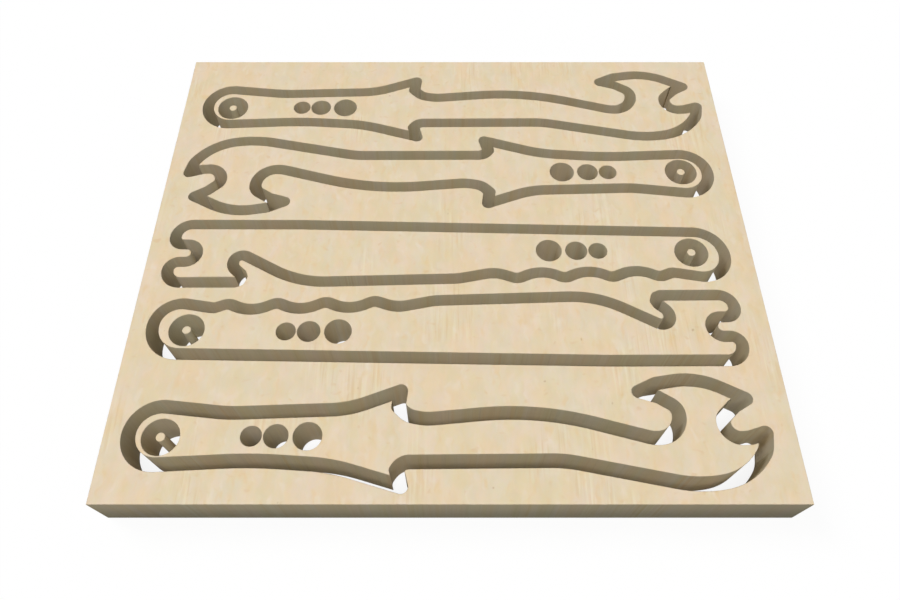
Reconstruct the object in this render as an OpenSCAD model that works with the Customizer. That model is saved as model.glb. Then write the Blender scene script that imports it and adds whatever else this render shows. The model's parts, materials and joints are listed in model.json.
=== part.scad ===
// Flat wooden tool board. Five long hooked hand tools lie flush in one thick
// panel, each cut free all the way round by a through channel of even width.
// There are two shapes of hook: one with a pointed guard, one with a finger grip.
// The frame is the board's own: origin under its middle, +X to the right along
// the hooks, +Y to the back, +Z up. Rows are counted from the front edge.

/* [Board] */
// Thickness of the board and of every hook
thickness = 25.4; // [6:0.1:40]
// Wood left beside the longest row's channel
side_margin = 10.3; // [4:0.1:40]
// Wood left in front of the front row's channel
front_margin = 6; // [3:0.05:40]
// Wood left behind the back row's channel
back_margin = 8.7; // [3:0.05:40]

/* [Channels] */
// Diameter of the cutter, which is the channel's width round a grip hook
cutter_d = 6.35; // [3:0.05:8]
// Extra width that a finishing pass takes round a guarded hook and in each ring
finish_pass = 0.5; // [0:0.05:1]

/* [Rows] */
// Wood between the channels of rows 1 and 2
web_1_2 = 3.9; // [2:0.05:20]
// Wood between the channels of rows 2 and 3
web_2_3 = 1.45; // [0.5:0.05:20]
// Wood between the channels of rows 3 and 4
web_3_4 = 3.35; // [2:0.05:20]
// How far the channels of rows 4 and 5 reach past each other
nest_4_5 = 2.95; // [0:0.05:5]
// Row 1: how far its hook lies to the right of the board's middle
shift_1 = -1.7; // [-4:0.1:4]
// Row 2: the same
shift_2 = -2.2; // [-4:0.1:4]
// Row 3: the same
shift_3 = -1.2; // [-4:0.1:4]
// Row 4: the same
shift_4 = -0.4; // [-4:0.1:4]
// Row 5: the same
shift_5 = 1; // [-4:0.1:4]
// Degrees that the two hooks with their heads to the left lean anticlockwise
lean_turned = -0.35; // [-0.6:0.05:0.6]
// Degrees that the back hook leans anticlockwise
lean_5 = -0.2; // [-0.6:0.05:0.6]

/* [Hanging ring and round holes] */
// Diameter of the loose core that stands in each hanging ring
core_d = 4.6; // [3:0.1:6]
// Diameter of the small hole
small_hole_d = 10.2; // [6:0.1:11]
// Diameter of the middle hole
middle_hole_d = 11.9; // [6:0.1:12.5]
// Diameter of the large hole
large_hole_d = 14; // [8:0.1:15]
// Wood between the small and the middle hole
small_web = 0.8; // [0.6:0.1:4]
// Wood between the middle and the large hole
large_web = 2.1; // [1:0.1:6]

/* [Guarded hook] */
// Wood between the ring and the end of the handle
guarded_end_wall = 2.95; // [2:0.05:8]
// Wood between the ring and the handle's lower edge
guarded_heel_wall = 1.45; // [1:0.05:5]
// Ring's centre to the small hole's centre
guarded_hole_at = 42.9; // [25:0.1:44]
// Height of the row of holes above the ring's centre
guarded_hole_y = 0.45; // [-0.5:0.05:1.5]
// Fullest point of the palm side below the ring's centre
palm_low = 10.3; // [9.5:0.1:11.5]
// Thumb rest above the ring's centre
thumb_high = 10.7; // [10:0.1:12]
// Ring's centre to the face of the guard
handle_l = 108.9; // [100:0.1:130]
// Face of the guard back to the fullest point of the palm side
palm_back = 26.4; // [20:0.1:34]
// Face of the guard back to the thumb rest
thumb_back = 19.5; // [14:0.1:28]
// How far the upper guard tip leans towards the head
guard_lean = 0.5; // [0:0.1:2]
// How much further the lower guard tip leans
guard_hook = 0.4; // [0:0.1:1]
// Lower guard tip below the ring's centre
guard_low = 18.5; // [14:0.1:20]
// Upper guard tip above the ring's centre
guard_high = 18.4; // [14:0.1:20]
// Rounding that the cutter leaves at the root of each guard tip
root_r = 3.2; // [1:0.1:4]
// Shaft's lower edge below the ring's centre
shaft_low = 8.7; // [6:0.1:10]
// Shaft's upper edge above the ring's centre, at its waist
waist_high = 5.5; // [3:0.1:7]
// Face of the guard to where the shaft's lower edge starts to swell
belly_at = 83; // [60:1:90]
// Lowest corner of the belly below the ring's centre
belly_low = 20; // [18:0.1:22]
// Face of the guard to where the shaft's upper edge starts to swell
back_at = 71; // [50:1:80]
// Rise of the shaft's upper edge from its waist to there
back_rise = 5.2; // [3:0.1:6]
// Face of the guard to the jaw's tip
shaft_l = 130.8; // [110:0.1:180]
// Jaw's tip above the ring's centre
jaw_tip_high = 23.95; // [20:0.05:26]
// Depth of the jaw behind its tip
jaw_depth = 11.9; // [8:0.1:14]
// Jaw's floor below the ring's centre
jaw_low = 3.9; // [0:0.1:6]
// Corner of the crown above the ring's centre
crown_high = 27.5; // [26.5:0.1:29]
// Wood between the jaw and the end notch
guarded_neck = 13.9; // [10:0.1:20]
// Length of the lower prong beyond the end notch
lower_prong_l = 18.3; // [15:0.1:24]
// Length of the upper prong beyond the end notch
upper_prong_l = 9.6; // [7:0.1:12]

/* [Grip hook] */
// Wood between the ring and the end of the handle
grip_end_wall = 5.5; // [3:0.1:10]
// Wood between the ring and the handle's lower edge
grip_heel_wall = 1.05; // [0.8:0.05:5]
// Ring's centre to the small hole's centre
grip_hole_at = 51.1; // [25:0.1:60]
// Height of the row of holes above the ring's centre
grip_hole_y = -0.8; // [-2:0.05:1]
// Finger ridges along the grip
ridge_count = 4; // [2:1:4]
// Ring's centre to the first ridge
ridge_at = 19.2; // [18:0.1:22]
// Spacing of the ridges
ridge_pitch = 25.6; // [22:0.1:28]
// Height of the first ridge's corner above the ring's centre
ridge_high = 12.35; // [11.5:0.05:14]
// Rise of each ridge over the one before
ridge_rise = 0.57; // [0:0.01:1]
// Rounding of a ridge
ridge_r = 3; // [1:0.1:6]
// Depth of a finger groove's corner below its ridge
groove_depth = 5.6; // [3:0.1:6]
// Rounding of a finger groove
groove_r = 23; // [12:0.5:26]
// Last ridge to the shoulder behind the ramp
shoulder_l = 31.9; // [26:0.1:40]
// That shoulder above the ring's centre
shoulder_high = 14.35; // [13:0.05:16]
// Index finger's groove above the ring's centre
index_high = 10.05; // [9:0.05:11]
// Ring's centre to the top of the ramp
ramp_at = 212.4; // [180:0.1:240]
// Top of the ramp above the ring's centre
ramp_high = 17.15; // [14:0.05:19]
// Top of the ramp to the back of the jaw
ramp_l = 40.7; // [36:0.1:60]
// Jaw's floor corner below the ring's centre
ramp_low = 5.1; // [2:0.1:7]
// Depth of the jaw behind its tip
grip_jaw_depth = 5.9; // [3:0.1:8]
// Rounding of the jaw's tip
grip_tip_r = 0.2; // [0.2:0.1:1.5]
// Wood between the jaw and the end notch
grip_neck = 14.5; // [10:0.1:20]
// Radius of the end notch
notch_r = 8.8; // [6:0.1:9]
// Length of the prongs beyond the end notch
prong_l = 13.8; // [12:0.1:20]
// Head's lower edge below the ring's centre
spine_low = 14.2; // [12:0.05:18]
// Head's upper edge above the ring's centre
head_high = 17.75; // [16:0.05:20]

/* [Hidden] */

wood = "#E4D1B3";
// Largest gap between a drawn arc and its true curve
arc_gap = 0.02;
// How far a cutting solid passes both faces
overshoot = 1;
// Rounding of a tip that is left sharp
sharp = 0;
// Rise of the guarded hook's lower shaft edge before its belly
shaft_rise = 0.7;
half_turn = 180;

channel = cutter_d;
wide_channel = cutter_d + finish_pass;
ring_r = core_d / 2 + wide_channel;

// --- Outlines from rounded corners ---
// A corner is [along, across, rounding radius]; a path runs anticlockwise.

function flat(corner) = [corner[0], corner[1]];
function before(path, i) = path[(i + len(path) - 1) % len(path)];
function after(path, i) = path[(i + 1) % len(path)];
function unit(v) = v / norm(v);
function ways(path, i) = [
    unit(flat(before(path, i)) - flat(path[i])),
    unit(flat(after(path, i)) - flat(path[i])),
];
function half_angle(path, i) =
    let (way = ways(path, i)) acos(max(-1, min(1, way[0] * way[1]))) / 2;
// Length of straight edge that a corner's rounding takes up
function wanted(path, i) = path[i][2] / tan(half_angle(path, i));
// Share of that length which the edge from corner i to corner j leaves free
function share(path, i, j) =
    min(1, norm(flat(path[i]) - flat(path[j])) / (wanted(path, i) + wanted(path, j)));
function corner_share(path, i) =
    min(share(path, i, (i + len(path) - 1) % len(path)), share(path, i, (i + 1) % len(path)));
function corner_arc(path, i) =
    let (
        way = ways(path, i),
        half = half_angle(path, i),
        radius = path[i][2] * corner_share(path, i),
        centre = flat(path[i]) + unit(way[0] + way[1]) * radius / sin(half),
        start = flat(path[i]) + way[0] * radius / tan(half) - centre,
        turn = (half_turn - 2 * half) * sign(way[1][0] * way[0][1] - way[1][1] * way[0][0]),
        steps = ceil(abs(turn) / (2 * acos(1 - min(0.5, arc_gap / radius))))
    )
    [for (k = [0:steps]) centre + turned(start, turn * k / steps)];
function turned(p, angle) =
    [p[0] * cos(angle) - p[1] * sin(angle), p[0] * sin(angle) + p[1] * cos(angle)];
function rounded(path) = [
    for (i = [0:len(path) - 1])
        each path[i][2] > 0 ? corner_arc(path, i) : [flat(path[i])]
];

// --- Guarded hook: ring's centre at the origin, head along +X, jaw open to +Y ---

guarded_end = ring_r + guarded_end_wall;
jaw_tip_x = handle_l + shaft_l;
jaw_x = jaw_tip_x + jaw_depth;
guarded_notch_x = jaw_x + guarded_neck;
guarded_path = [
    // Heel and palm side, out to the lower guard tip
    [-guarded_end, -(ring_r + guarded_heel_wall), 11.6],
    [44, -7.75, 240],
    [handle_l - palm_back, -palm_low, 90],
    [handle_l + guard_lean + guard_hook, -guard_low, sharp],
    // Face of the guard, lower edge of the shaft, belly of the head, lower prong
    [handle_l, 3.1 - guard_low, root_r],
    [handle_l + 4.4, -shaft_low, 9.5],
    [handle_l + belly_at, shaft_rise - shaft_low, 60],
    [jaw_x + 1.5, -belly_low, 60],
    [guarded_notch_x + 9.5, -16.1, 30],
    [guarded_notch_x + lower_prong_l - 0.35, -4.6, 7],
    [guarded_notch_x + lower_prong_l, -2.8, sharp],
    // End notch, upper prong, crown
    [guarded_notch_x + lower_prong_l - 2.6, -3.6, sharp],
    [guarded_notch_x, -5, 11.2],
    [guarded_notch_x, 11, 8.5],
    [guarded_notch_x + upper_prong_l - 2, 18.2, sharp],
    [guarded_notch_x + upper_prong_l, 19.4, sharp],
    [jaw_x + 7.7, crown_high, 34],
    // Jaw
    [jaw_tip_x + 0.75, jaw_tip_high + 0.36, 1],
    [jaw_tip_x, jaw_tip_high, sharp],
    [jaw_tip_x + 0.9, jaw_tip_high - 0.27, sharp],
    [jaw_x, jaw_tip_high - 7.2, 10],
    [jaw_x, -jaw_low, 15],
    [jaw_tip_x - 6.1, -jaw_low, 20],
    // Upper edge of the shaft, in to the waist and out to the upper guard tip
    [handle_l + back_at, waist_high + back_rise, 150],
    [handle_l + 17, waist_high, 30],
    [handle_l + 6.4, waist_high + 2.1, 12.5],
    [handle_l, guard_high - 4.1, root_r],
    [handle_l + guard_lean, guard_high, sharp],
    // Thumb side, back to the heel
    [handle_l - thumb_back, thumb_high, 53],
    [30, 8.6, 80],
    [-guarded_end, ring_r + 4.05, 11],
];
guarded_outline = rounded(guarded_path);

// --- Grip hook: ring's centre at the origin, head along +X, jaw open to +Y ---

grip_end = ring_r + grip_end_wall;
grip_jaw_x = ramp_at + ramp_l;
grip_notch_x = grip_jaw_x + grip_neck;
grip_head_x = grip_notch_x + prong_l;
last_ridge_x = ridge_at + (ridge_count - 1) * ridge_pitch;

function ridge(i) = [ridge_at + i * ridge_pitch, ridge_high + i * ridge_rise, ridge_r];
// The groove beyond ridge i, towards the head
function groove(i) = [
    ridge(i)[0] + ridge_pitch / 2 - 0.7,
    ridge_high + i * ridge_rise - groove_depth,
    groove_r,
];

grip_path = [
    // Heel, long straight spine, lower prong
    [-grip_end, -(ring_r + grip_heel_wall), 12.4],
    [ramp_at + 2.6, -spine_low, 300],
    [grip_head_x - 0.2, 0.25 - spine_low, 5.2],
    // End notch between two rounded prongs
    [grip_head_x - 0.2, 2 - notch_r, 1.8],
    [grip_notch_x, 2 - notch_r, notch_r],
    [grip_notch_x, 2 + notch_r, notch_r],
    [grip_head_x, 2.2 + notch_r, 2.2],
    [grip_head_x, head_high, 4.5],
    // Jaw and ramp
    [grip_jaw_x - grip_jaw_depth, head_high - 0.25, grip_tip_r],
    [grip_jaw_x, 12.3, 10],
    [grip_jaw_x, -ramp_low, 8.1],
    [ramp_at, ramp_high, 52],
    // Shoulder, index finger's groove, ridges and grooves back to the heel
    [last_ridge_x + shoulder_l, shoulder_high, 20],
    [last_ridge_x + 11.3, index_high, 22],
    ridge(ridge_count - 1),
    for (i = [ridge_count - 2:-1:0]) each [groove(i), ridge(i)],
    [ridge_at - 6.7, ridge_high - 2.7, 8],
    [-grip_end, ring_r + 5.05, 10],
];
grip_outline = rounded(grip_path);

// --- Rows ---

row_count = 5;
guarded_rows = [true, false, false, true, true];
row_angle = [0, 0, half_turn + lean_turned, half_turn + lean_turned, lean_5];
row_shift = [shift_1, shift_2, shift_3, shift_4, shift_5];
row_gap = [web_1_2, web_2_3, web_3_4, -nest_4_5];

function row_channel(k) = guarded_rows[k] ? wide_channel : channel;
row_outline = [
    for (k = [0:row_count - 1])
        [for (p = guarded_rows[k] ? guarded_outline : grip_outline) turned(p, row_angle[k])],
];
function lowest(k, axis) = min([for (p = row_outline[k]) p[axis]]);
function highest(k, axis) = max([for (p = row_outline[k]) p[axis]]);

// Distance of a row's ring centre from the board's front edge
function from_front(k) = row_channel(k) - lowest(k, 1) + (
    k == 0
        ? front_margin
        : from_front(k - 1) + highest(k - 1, 1) + row_channel(k - 1) + row_gap[k - 1]
);
row_lengths = [
    for (k = [0:row_count - 1]) highest(k, 0) - lowest(k, 0) + 2 * row_channel(k),
];
last_row = row_count - 1;
board_w = max(row_lengths) + 2 * side_margin;
board_d = from_front(last_row) + highest(last_row, 1) + row_channel(last_row) + back_margin;

row_place = [
    for (k = [0:row_count - 1])
        [row_shift[k] - (lowest(k, 0) + highest(k, 0)) / 2, from_front(k) - board_d / 2, 0],
];

// --- Solids ---

module bore(along, across, d) {
    translate([along, across, -overshoot])
        cylinder(d = d, h = thickness + 2 * overshoot, $fn = 96);
}

// Three round holes in a line, small to large towards the head
module graded_holes(first_at, across) {
    middle_at = first_at + (small_hole_d + middle_hole_d) / 2 + small_web;
    large_at = middle_at + (middle_hole_d + large_hole_d) / 2 + large_web;
    bore(first_at, across, small_hole_d);
    bore(middle_at, across, middle_hole_d);
    bore(large_at, across, large_hole_d);
}

module hook(k) {
    color(wood)
        translate(row_place[k])
            difference() {
                linear_extrude(thickness) polygon(row_outline[k]);
                rotate([0, 0, row_angle[k]]) {
                    bore(0, 0, 2 * ring_r);
                    if (guarded_rows[k]) graded_holes(guarded_hole_at, guarded_hole_y);
                    else graded_holes(grip_hole_at, grip_hole_y);
                }
            }
}

module core(k) {
    color(wood)
        translate(row_place[k])
            cylinder(d = core_d, h = thickness, $fn = 48);
}

// The cutter's middle runs half a channel off the hook, sharp at its tips
module cut_out(k) {
    translate(row_place[k] - [0, 0, overshoot])
        linear_extrude(thickness + 2 * overshoot)
            offset(r = row_channel(k) / 2, $fn = 48)
                offset(delta = row_channel(k) / 2)
                    polygon(row_outline[k]);
}

module board() {
    color(wood)
        difference() {
            translate([-board_w / 2, -board_d / 2, 0]) cube([board_w, board_d, thickness]);
            for (k = [0:last_row]) cut_out(k);
        }
}

module guarded_hook_1() { hook(0); }
module grip_hook_2() { hook(1); }
module grip_hook_3() { hook(2); }
module guarded_hook_4() { hook(3); }
module guarded_hook_5() { hook(4); }
module core_1() { core(0); }
module core_2() { core(1); }
module core_3() { core(2); }
module core_4() { core(3); }
module core_5() { core(4); }

board();
guarded_hook_1();
grip_hook_2();
grip_hook_3();
guarded_hook_4();
guarded_hook_5();
core_1();
core_2();
core_3();
core_4();
core_5();
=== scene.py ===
"""Looks of the flat wooden tool board: birch faces, routed walls, softened edges."""

import json
import math

import bpy
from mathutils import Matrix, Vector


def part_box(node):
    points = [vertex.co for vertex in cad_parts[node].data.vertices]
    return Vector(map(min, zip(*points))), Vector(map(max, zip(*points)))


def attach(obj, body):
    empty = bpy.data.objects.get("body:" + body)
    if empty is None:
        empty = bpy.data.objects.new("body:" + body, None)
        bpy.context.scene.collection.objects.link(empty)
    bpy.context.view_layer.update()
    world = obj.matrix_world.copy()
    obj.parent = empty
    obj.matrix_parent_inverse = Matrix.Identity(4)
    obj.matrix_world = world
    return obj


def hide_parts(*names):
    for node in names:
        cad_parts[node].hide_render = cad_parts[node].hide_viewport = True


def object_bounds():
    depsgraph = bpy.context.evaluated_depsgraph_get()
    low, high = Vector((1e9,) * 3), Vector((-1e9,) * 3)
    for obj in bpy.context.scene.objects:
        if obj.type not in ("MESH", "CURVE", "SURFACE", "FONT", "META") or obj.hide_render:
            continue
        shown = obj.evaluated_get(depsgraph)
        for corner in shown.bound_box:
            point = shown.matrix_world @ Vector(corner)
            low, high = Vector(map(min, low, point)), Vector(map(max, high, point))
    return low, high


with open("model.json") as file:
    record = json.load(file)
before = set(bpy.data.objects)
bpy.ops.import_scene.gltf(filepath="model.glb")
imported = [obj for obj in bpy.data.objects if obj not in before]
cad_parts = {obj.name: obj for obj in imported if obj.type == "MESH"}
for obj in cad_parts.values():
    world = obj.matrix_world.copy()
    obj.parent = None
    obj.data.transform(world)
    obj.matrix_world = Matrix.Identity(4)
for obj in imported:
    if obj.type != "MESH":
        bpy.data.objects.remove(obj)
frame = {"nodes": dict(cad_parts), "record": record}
cad_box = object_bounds()

MM = 0.001
BOARD_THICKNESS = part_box("board")[1][2]


# --- Wood ---

# Colours, as display values from 0 to 255
BIRCH = (228, 210, 180)
PALE_STREAK = (234, 222, 193)
TAN_THREAD = (218, 190, 144)
AMBER_DASH = (227, 197, 146)
PALE_CURL = (235, 221, 203)
SMALL_KNOT = (219, 186, 140)
BROWN_FLECK = (186, 150, 112)
# Dark fibres, in the painted shade colour of the walls
FIBRE_AND_PAINTED_SHADE = (120, 106, 84)

# Dyes, as factors on red, green and blue at the two ends of a cloud
CREAM_TO_AMBER = ((0.998, 1.006, 1.045), (1.0, 0.977, 0.915))
OLIVE_TO_ROSE = ((0.976, 1.001, 0.985), (1.018, 0.994, 1.003))
DIM_TO_BRIGHT = ((0.984, 0.984, 0.984), (1.016, 1.016, 1.016))
COOL_TO_WARM = ((0.996, 1.004, 1.006), (1.004, 0.996, 0.994))
PALE_TO_YELLOW = ((1.0, 1.0, 1.028), (1.0, 1.0, 0.972))
PINK_TO_GREEN = ((1.006, 0.996, 1.0), (0.994, 1.004, 1.0))

# Painted light and shade on the cut walls, laid over the birch, at the top and at the underside
# Routed walls: painted light, a little lighter towards the underside against the shade deep in
# the narrow cuts
ROUTED_PAINTED_LIGHT = ((238, 245, 248), (245, 251, 255))
# Sawn rim: painted shade, darker than the routed walls and darker still towards the underside
SAWN_PAINTED_SHADE = ((213, 215, 208), (174, 178, 173))

# How far in mm the figure reaches straight down, on the faces and on the cut walls
FACE_DEPTH = 60
WALL_DEPTH = 400
# Gloss of dry, unvarnished wood
DRY_GLOSS = 0.2

# Kinds of piece, as the names of the nodes and of the record's slots have them
KINDS = ("board", "hook", "core")
# Width of the sanding on every sharp edge
ARRIS = 0.3 * MM
# Corners of the frame's loose triangles closer than this are one
WELD = 0.002 * MM
# A turn between two faces by less than this, in degrees, is shaded round
ROUND_BELOW = 50
# Least rise of a normal on the sheet's own faces, and most on an upright wall
SHEET_RISE = 0.9
WALL_RISE = 0.3


# --- Floor, light and camera ---

# How much of the lamps' light the floor returns to the object
BOUNCE = 0.4
# How dark the object's shadow is on the white floor
SHADOW_DEPTH = 0.12
# Side of the floor in metres
FLOOR_SIZE = 8
# Gap under the board, which keeps the two flat faces apart
FLOOR_GAP = 0.1 * MM

# Share of the light that reaches the top, tilt from overhead, turn from the front, in degrees
LAMPS = {"window_left": (0.22, 42, -118), "window_front": (0.57, 18, 0)}
# Width in degrees of each window as the object sees it, which softens its shadows
WINDOW_WIDTH = 26
# Strength of the room's own even light on the object
ROOM_LIGHT = 0.21

# Place in metres, tilt from straight down in degrees, lens and sensor in mm
CAMERA_PLACE = (0, -0.2267, 0.3558)
CAMERA_TILT = 30
LENS = 28.97
SENSOR_WIDTH = 36


# --- Shader maths written as expressions ---


def paint(red, green, blue):
    """A colour given in display values from 0 to 255, as the shader wants it."""

    def straight(value):
        value /= 255
        return value / 12.92 if value <= 0.04045 else ((value + 0.055) / 1.055) ** 2.4

    return (straight(red), straight(green), straight(blue), 1.0)


class Wire:
    """A shader socket that takes Python's operators and adds the Math nodes they need."""

    def __init__(self, finish, socket):
        self.finish = finish
        self.socket = socket

    def maths(self, operation, *values):
        return self.finish.node("Math", {"operation": operation}, *values)

    def __add__(self, other):
        return self.maths("ADD", self, other)

    def __radd__(self, other):
        return self.maths("ADD", other, self)

    def __mul__(self, other):
        return self.maths("MULTIPLY", self, other)

    def __rmul__(self, other):
        return self.maths("MULTIPLY", other, self)

    def __truediv__(self, other):
        return self.maths("DIVIDE", self, other)

    def __rtruediv__(self, other):
        return self.maths("DIVIDE", other, self)


class Finish:
    """A material under construction."""

    def __init__(self, name):
        self.material = bpy.data.materials.new(name)
        self.material.use_nodes = True
        self.tree = self.material.node_tree
        self.shader = self.tree.nodes["Principled BSDF"]
        self.place = self.node("TexCoord", {}, output="Object")

    def plug(self, socket, value):
        if isinstance(value, Wire):
            self.tree.links.new(value.socket, socket)
        else:
            socket.default_value = value

    def fill(self, **sockets):
        """Fills the closing shader's sockets by name."""
        for socket, value in sockets.items():
            self.plug(self.shader.inputs[socket.replace("_", " ")], value)

    def node(self, kind, settings, *values, output=0, **named):
        """Adds a node: its settings first, then its sockets by order or by name."""
        made = self.tree.nodes.new("ShaderNode" + kind)
        for setting, value in settings.items():
            setattr(made, setting, value)
        for socket, value in zip(made.inputs, values):
            self.plug(socket, value)
        for socket, value in named.items():
            self.plug(made.inputs[socket.replace("_", " ")], value)
        return Wire(self, made.outputs[output])

    def noise(self, size, seed, detail=2, roughness=0.5, distortion=0, place=None, output="Fac"):
        """Soft noise whose features have that size in mm, from a place of their own."""
        cells = self.node(
            "Mapping",
            {},
            Vector=place or self.place,
            Location=(seed, 0.37 * seed, 0.61 * seed),
            Scale=tuple(1 / (length * MM) for length in size),
        )
        return self.node(
            "TexNoise",
            {},
            Vector=cells,
            Scale=1.0,
            Detail=detail,
            Roughness=roughness,
            Distortion=distortion,
            output=output,
        )

    def drifting(self, size, seed, reach):
        """Object coordinates pushed aside in slow waves by up to that reach in mm."""
        waves = self.noise(size, seed, detail=1, output="Color")
        push = tuple(step * MM for step in reach)
        return self.node("VectorMath", {"operation": "MULTIPLY_ADD"}, waves, push, self.place)

    def between(self, value, low, high):
        """0 at low, 1 at high, smooth in between."""
        return self.node("MapRange", {"interpolation_type": "SMOOTHSTEP"}, value, low, high)

    def blend(self, mask, under, over, mode="MIX"):
        """Colour over laid on colour under where the mask is 1."""
        made = self.tree.nodes.new("ShaderNodeMix")
        made.data_type = "RGBA"
        made.blend_type = mode
        colours = [s for s in made.inputs if s.type == "RGBA"]
        self.plug(made.inputs[0], mask)
        self.plug(colours[0], under)
        self.plug(colours[1], over)
        return Wire(self, next(s for s in made.outputs if s.type == "RGBA"))

    def marked(self, colour, mask, tone):
        """The colour with marks of that tone on it."""
        return self.blend(mask, colour, paint(*tone))

    def dyed(self, colour, mask, dye):
        """The colour times a dye that goes from its first to its second end with the mask."""
        low, high = dye
        return self.blend(1.0, colour, self.blend(mask, (*low, 1), (*high, 1)), "MULTIPLY")


# --- Finishes ---


def birch_figure(finish, deep):
    """Colour of rotary-cut birch: soft mottling and short dashes that run front to back."""
    # Mottling and dashes follow slow bends, and the fine grain runs straight
    bent = finish.drifting((6, 6, deep / 5), 66.5, (5, 3, 0))
    straight = finish.place

    def cloud(size, seed, low=0.36, high=0.64, detail=2, place=bent):
        """A mask of patches of that size in mm, across and along the grain."""
        soft = finish.noise((*size, deep), seed, detail, place=place)
        return finish.between(soft, low, high)

    # Mottling, and a broad drift of tone
    colour = paint(*BIRCH)
    colour = finish.dyed(colour, cloud((8, 20), 3.1), CREAM_TO_AMBER)
    colour = finish.dyed(colour, cloud((10, 17), 11.7), OLIVE_TO_ROSE)
    colour = finish.dyed(colour, cloud((7, 13), 23.9), DIM_TO_BRIGHT)
    colour = finish.dyed(colour, cloud((34, 46), 83.2, 0.4, 0.6, 1), COOL_TO_WARM)

    # Fine streaks come and go across the sheet
    patch = cloud((26, 40), 57.2, 0.54, 0.7, 1)
    streak = cloud((1.6, 40), 5.5, 0.48, 0.66, place=straight)
    colour = finish.marked(colour, streak * (0.02 + patch * 0.5), PALE_STREAK)
    thread = cloud((1.4, 28), 71.4, 0.5, 0.7, place=straight)
    colour = finish.marked(colour, thread * (0.03 + patch * 0.45), TAN_THREAD)

    # Amber dashes, short pale curls and little knots
    colour = finish.marked(colour, cloud((3.6, 10), 91.8, 0.56, 0.82, 1) * 0.5, AMBER_DASH)
    colour = finish.marked(colour, cloud((4, 8), 47.5, 0.56, 0.8, 1) * 0.4, PALE_CURL)
    colour = finish.marked(colour, cloud((5, 4), 33.6, 0.64, 0.82, 1) * 0.45, SMALL_KNOT)

    # The finest grain, and the odd brown fleck
    grit = cloud((1.3, 2), 62.5, 0.3, 0.7, 1, straight)
    colour = finish.dyed(colour, grit, PALE_TO_YELLOW)
    blush = cloud((1.7, 3), 29.4, 0.3, 0.7, 1, straight)
    colour = finish.dyed(colour, blush, PINK_TO_GREEN)
    spots = finish.noise((3.2, 4.5, deep), 17.9, detail=1, roughness=0.4, distortion=0.2)
    return finish.marked(colour, finish.between(spots, 0.8, 0.86) * 0.5, BROWN_FLECK)


def birch_face():
    """Sanded face of the sheet."""
    finish = Finish("birch_face")
    pores = finish.noise((0.35, 5, 1.5), 8.8, detail=3, roughness=0.6)
    swell = finish.noise((14, 40, 30), 2.2)
    relief = finish.between(pores, 0.35, 0.6) * 0.5 + swell * 0.5
    finish.fill(
        Base_Color=birch_figure(finish, FACE_DEPTH),
        Roughness=0.52 + pores * 0.12 + swell * 0.08,
        Specular_IOR_Level=DRY_GLOSS,
        Normal=finish.node("Bump", {}, Strength=0.12, Distance=0.05 * MM, Height=relief),
    )
    return finish.material


def cut_wall(name, painted_shading_ends):
    """Wall of cut wood whose tone changes from the top to the underside: painted light and shade
    over the wood's figure.
    """
    finish = Finish(name)
    top_painted_shading, under_painted_shading = painted_shading_ends
    # Painted light and shade: a tone that goes from the top of the wall to the underside,
    # multiplied over the figure
    height = finish.node("SeparateXYZ", {}, finish.place, output="Z") / BOARD_THICKNESS
    tone = finish.blend(finish.between(height, 0, 1), paint(*under_painted_shading), paint(*top_painted_shading))
    colour = finish.blend(1.0, birch_figure(finish, WALL_DEPTH), tone, "MULTIPLY")
    fibres = finish.noise((0.9, 0.9, 40), 6.4, detail=3, roughness=0.6)
    cutter_passes = finish.noise((30, 30, 0.8), 1.9)
    relief = fibres * 0.7 + cutter_passes * 0.3
    finish.fill(
        # Dark streaks along the fibres, in the painted shade colour of the walls
        Base_Color=finish.marked(colour, finish.between(fibres, 0.5, 0.8) * 0.12, FIBRE_AND_PAINTED_SHADE),
        Roughness=0.66 + fibres * 0.15,
        Specular_IOR_Level=DRY_GLOSS,
        Normal=finish.node("Bump", {}, Strength=0.15, Distance=0.06 * MM, Height=relief),
    )
    return finish.material


def pale_floor():
    """White to the camera and mid grey to the object, with the object's own soft shadow."""
    finish = Finish("pale_floor")
    seen = finish.node("LightPath", {}, output="Is Camera Ray")
    finish.fill(Base_Color=seen * (1 - BOUNCE) + BOUNCE, Roughness=1.0, Specular_IOR_Level=0.0)
    white = finish.node("Emission", {}, Color=(1, 1, 1, 1), Strength=1.0)
    own = Wire(finish, finish.shader.outputs["BSDF"])
    mixed = finish.node("MixShader", {}, seen * (1 - SHADOW_DEPTH), own, white)
    finish.plug(finish.tree.nodes["Material Output"].inputs["Surface"], mixed)
    return finish.material


# Finishes of a piece, in the order of its material slots
SANDED, ROUTED, SAWN = range(3)
FINISHES = (
    birch_face(),
    # The routed walls carry painted light and the sawn rim painted shade
    cut_wall("routed_wall_painted_light", ROUTED_PAINTED_LIGHT),
    cut_wall("sawn_edge_painted_shade", SAWN_PAINTED_SHADE),
)


# --- Pieces ---


def choose_faces(piece, accepts):
    """In edit mode: selects only the faces that accepts() says yes to."""
    bpy.ops.mesh.select_mode(type="FACE")
    bpy.ops.mesh.select_all(action="DESELECT")
    bpy.ops.object.mode_set(mode="OBJECT")
    for face in piece.data.polygons:
        face.select = accepts(face)
    bpy.ops.object.mode_set(mode="EDIT")


def sand_side(piece, up):
    """Breaks the edges of the upper (up 1) or under side (up -1) and closes it again."""
    choose_faces(piece, lambda face: face.normal.z * up > SHEET_RISE)
    bpy.ops.transform.translate(value=(0, 0, -ARRIS * up))
    bpy.ops.mesh.inset(thickness=ARRIS, depth=ARRIS, use_even_offset=True)
    bpy.ops.mesh.delete(type="FACE")
    bpy.ops.mesh.select_mode(type="EDGE")
    bpy.ops.mesh.select_all(action="DESELECT")
    bpy.ops.mesh.select_non_manifold(
        extend=False,
        use_wire=False,
        use_multi_face=False,
        use_non_contiguous=False,
        use_verts=False,
    )
    bpy.ops.mesh.fill(use_beauty=True)


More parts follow.
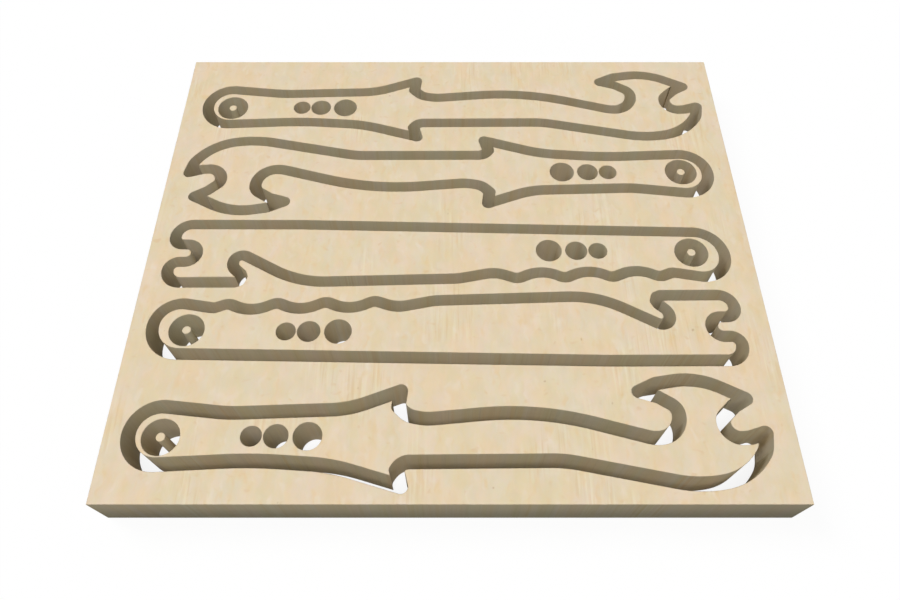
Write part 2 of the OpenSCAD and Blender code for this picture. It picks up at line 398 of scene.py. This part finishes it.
def finish_for(face, kind):
    """Which finish a face gets: the sheet's face, a wall of the cuts or the board's rim."""
    if abs(face.normal.z) > WALL_RISE:
        return SANDED
    if kind != "board":
        return ROUTED
    low, high = cad_box
    middle = face.center
    from_rim = min(middle.x - low[0], high[0] - middle.x, middle.y - low[1], high[1] - middle.y)
    return SAWN if from_rim < ARRIS else ROUTED


def sanded_copy(node, body, kind):
    """The node's own shape with its sharp edges broken by a light sanding."""
    source = frame["nodes"][node]
    bpy.ops.object.select_all(action="DESELECT")
    piece = source.copy()
    piece.data = source.data.copy()
    piece.name = piece.data.name = node + "_wood"
    bpy.context.scene.collection.objects.link(piece)
    piece.select_set(True)
    bpy.context.view_layer.objects.active = piece
    bpy.ops.object.mode_set(mode="EDIT")
    bpy.ops.mesh.select_all(action="SELECT")
    bpy.ops.mesh.remove_doubles(threshold=WELD)
    sand_side(piece, 1)
    sand_side(piece, -1)
    bpy.ops.mesh.select_all(action="SELECT")
    bpy.ops.mesh.normals_make_consistent(inside=False)
    bpy.ops.object.mode_set(mode="OBJECT")
    piece.data.materials.clear()
    for finish in FINISHES:
        piece.data.materials.append(finish)
    for face in piece.data.polygons:
        face.material_index = finish_for(face, kind)
    bpy.ops.object.shade_smooth_by_angle(angle=math.radians(ROUND_BELOW))
    bpy.ops.object.modifier_add(type="WEIGHTED_NORMAL")
    bpy.ops.object.modifier_apply(modifier=piece.modifiers[-1].name)
    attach(piece, body)
    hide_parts(node)
    kind + "_wood"


for body, members in frame["record"]["behaviour"]["bodies"].items():
    for node in members:
        sanded_copy(node, body, next(kind for kind in KINDS if kind in node))


# --- Stage ---


def lay_floor():
    bpy.ops.object.select_all(action="DESELECT")
    bpy.ops.mesh.primitive_plane_add(size=FLOOR_SIZE, location=(0, 0, -FLOOR_GAP))
    floor = bpy.context.object
    floor.name = "floor"
    floor.data.materials.append(pale_floor())


def hang_lamp(name, share, tilt, turn):
    """A distant lamp that gives the board's top that share of its light."""
    lamp = bpy.data.lights.new(name, "SUN")
    lamp.energy = share * math.pi / math.cos(math.radians(tilt))
    lamp.angle = math.radians(WINDOW_WIDTH)
    hung = bpy.data.objects.new(name, lamp)
    hung.rotation_euler = (math.radians(tilt), 0, math.radians(turn))
    bpy.context.scene.collection.objects.link(hung)


def light_room():
    """A room that is white to the camera and gives the object a weak even light."""
    world = bpy.data.worlds.new("room")
    world.use_nodes = True
    bpy.context.scene.world = world
    room = world.node_tree
    sky = room.nodes["Background"]
    sky.inputs["Color"].default_value = (1, 1, 1, 1)
    rays = room.nodes.new("ShaderNodeLightPath")
    level = room.nodes.new("ShaderNodeMapRange")
    level.inputs["To Min"].default_value = ROOM_LIGHT
    level.inputs["To Max"].default_value = 1.0
    room.links.new(rays.outputs["Is Camera Ray"], level.inputs["Value"])
    room.links.new(level.outputs["Result"], sky.inputs["Strength"])


def place_camera():
    lens = bpy.data.cameras.new("camera")
    lens.lens = LENS
    lens.sensor_width = SENSOR_WIDTH
    camera = bpy.data.objects.new("camera", lens)
    camera.location = CAMERA_PLACE
    camera.rotation_euler = (math.radians(CAMERA_TILT), 0, 0)
    bpy.context.scene.collection.objects.link(camera)
    bpy.context.scene.camera = camera


lay_floor()
for name, aim in LAMPS.items():
    hang_lamp(name, *aim)
light_room()
place_camera()
bpy.context.scene.view_settings.view_transform = "Standard"
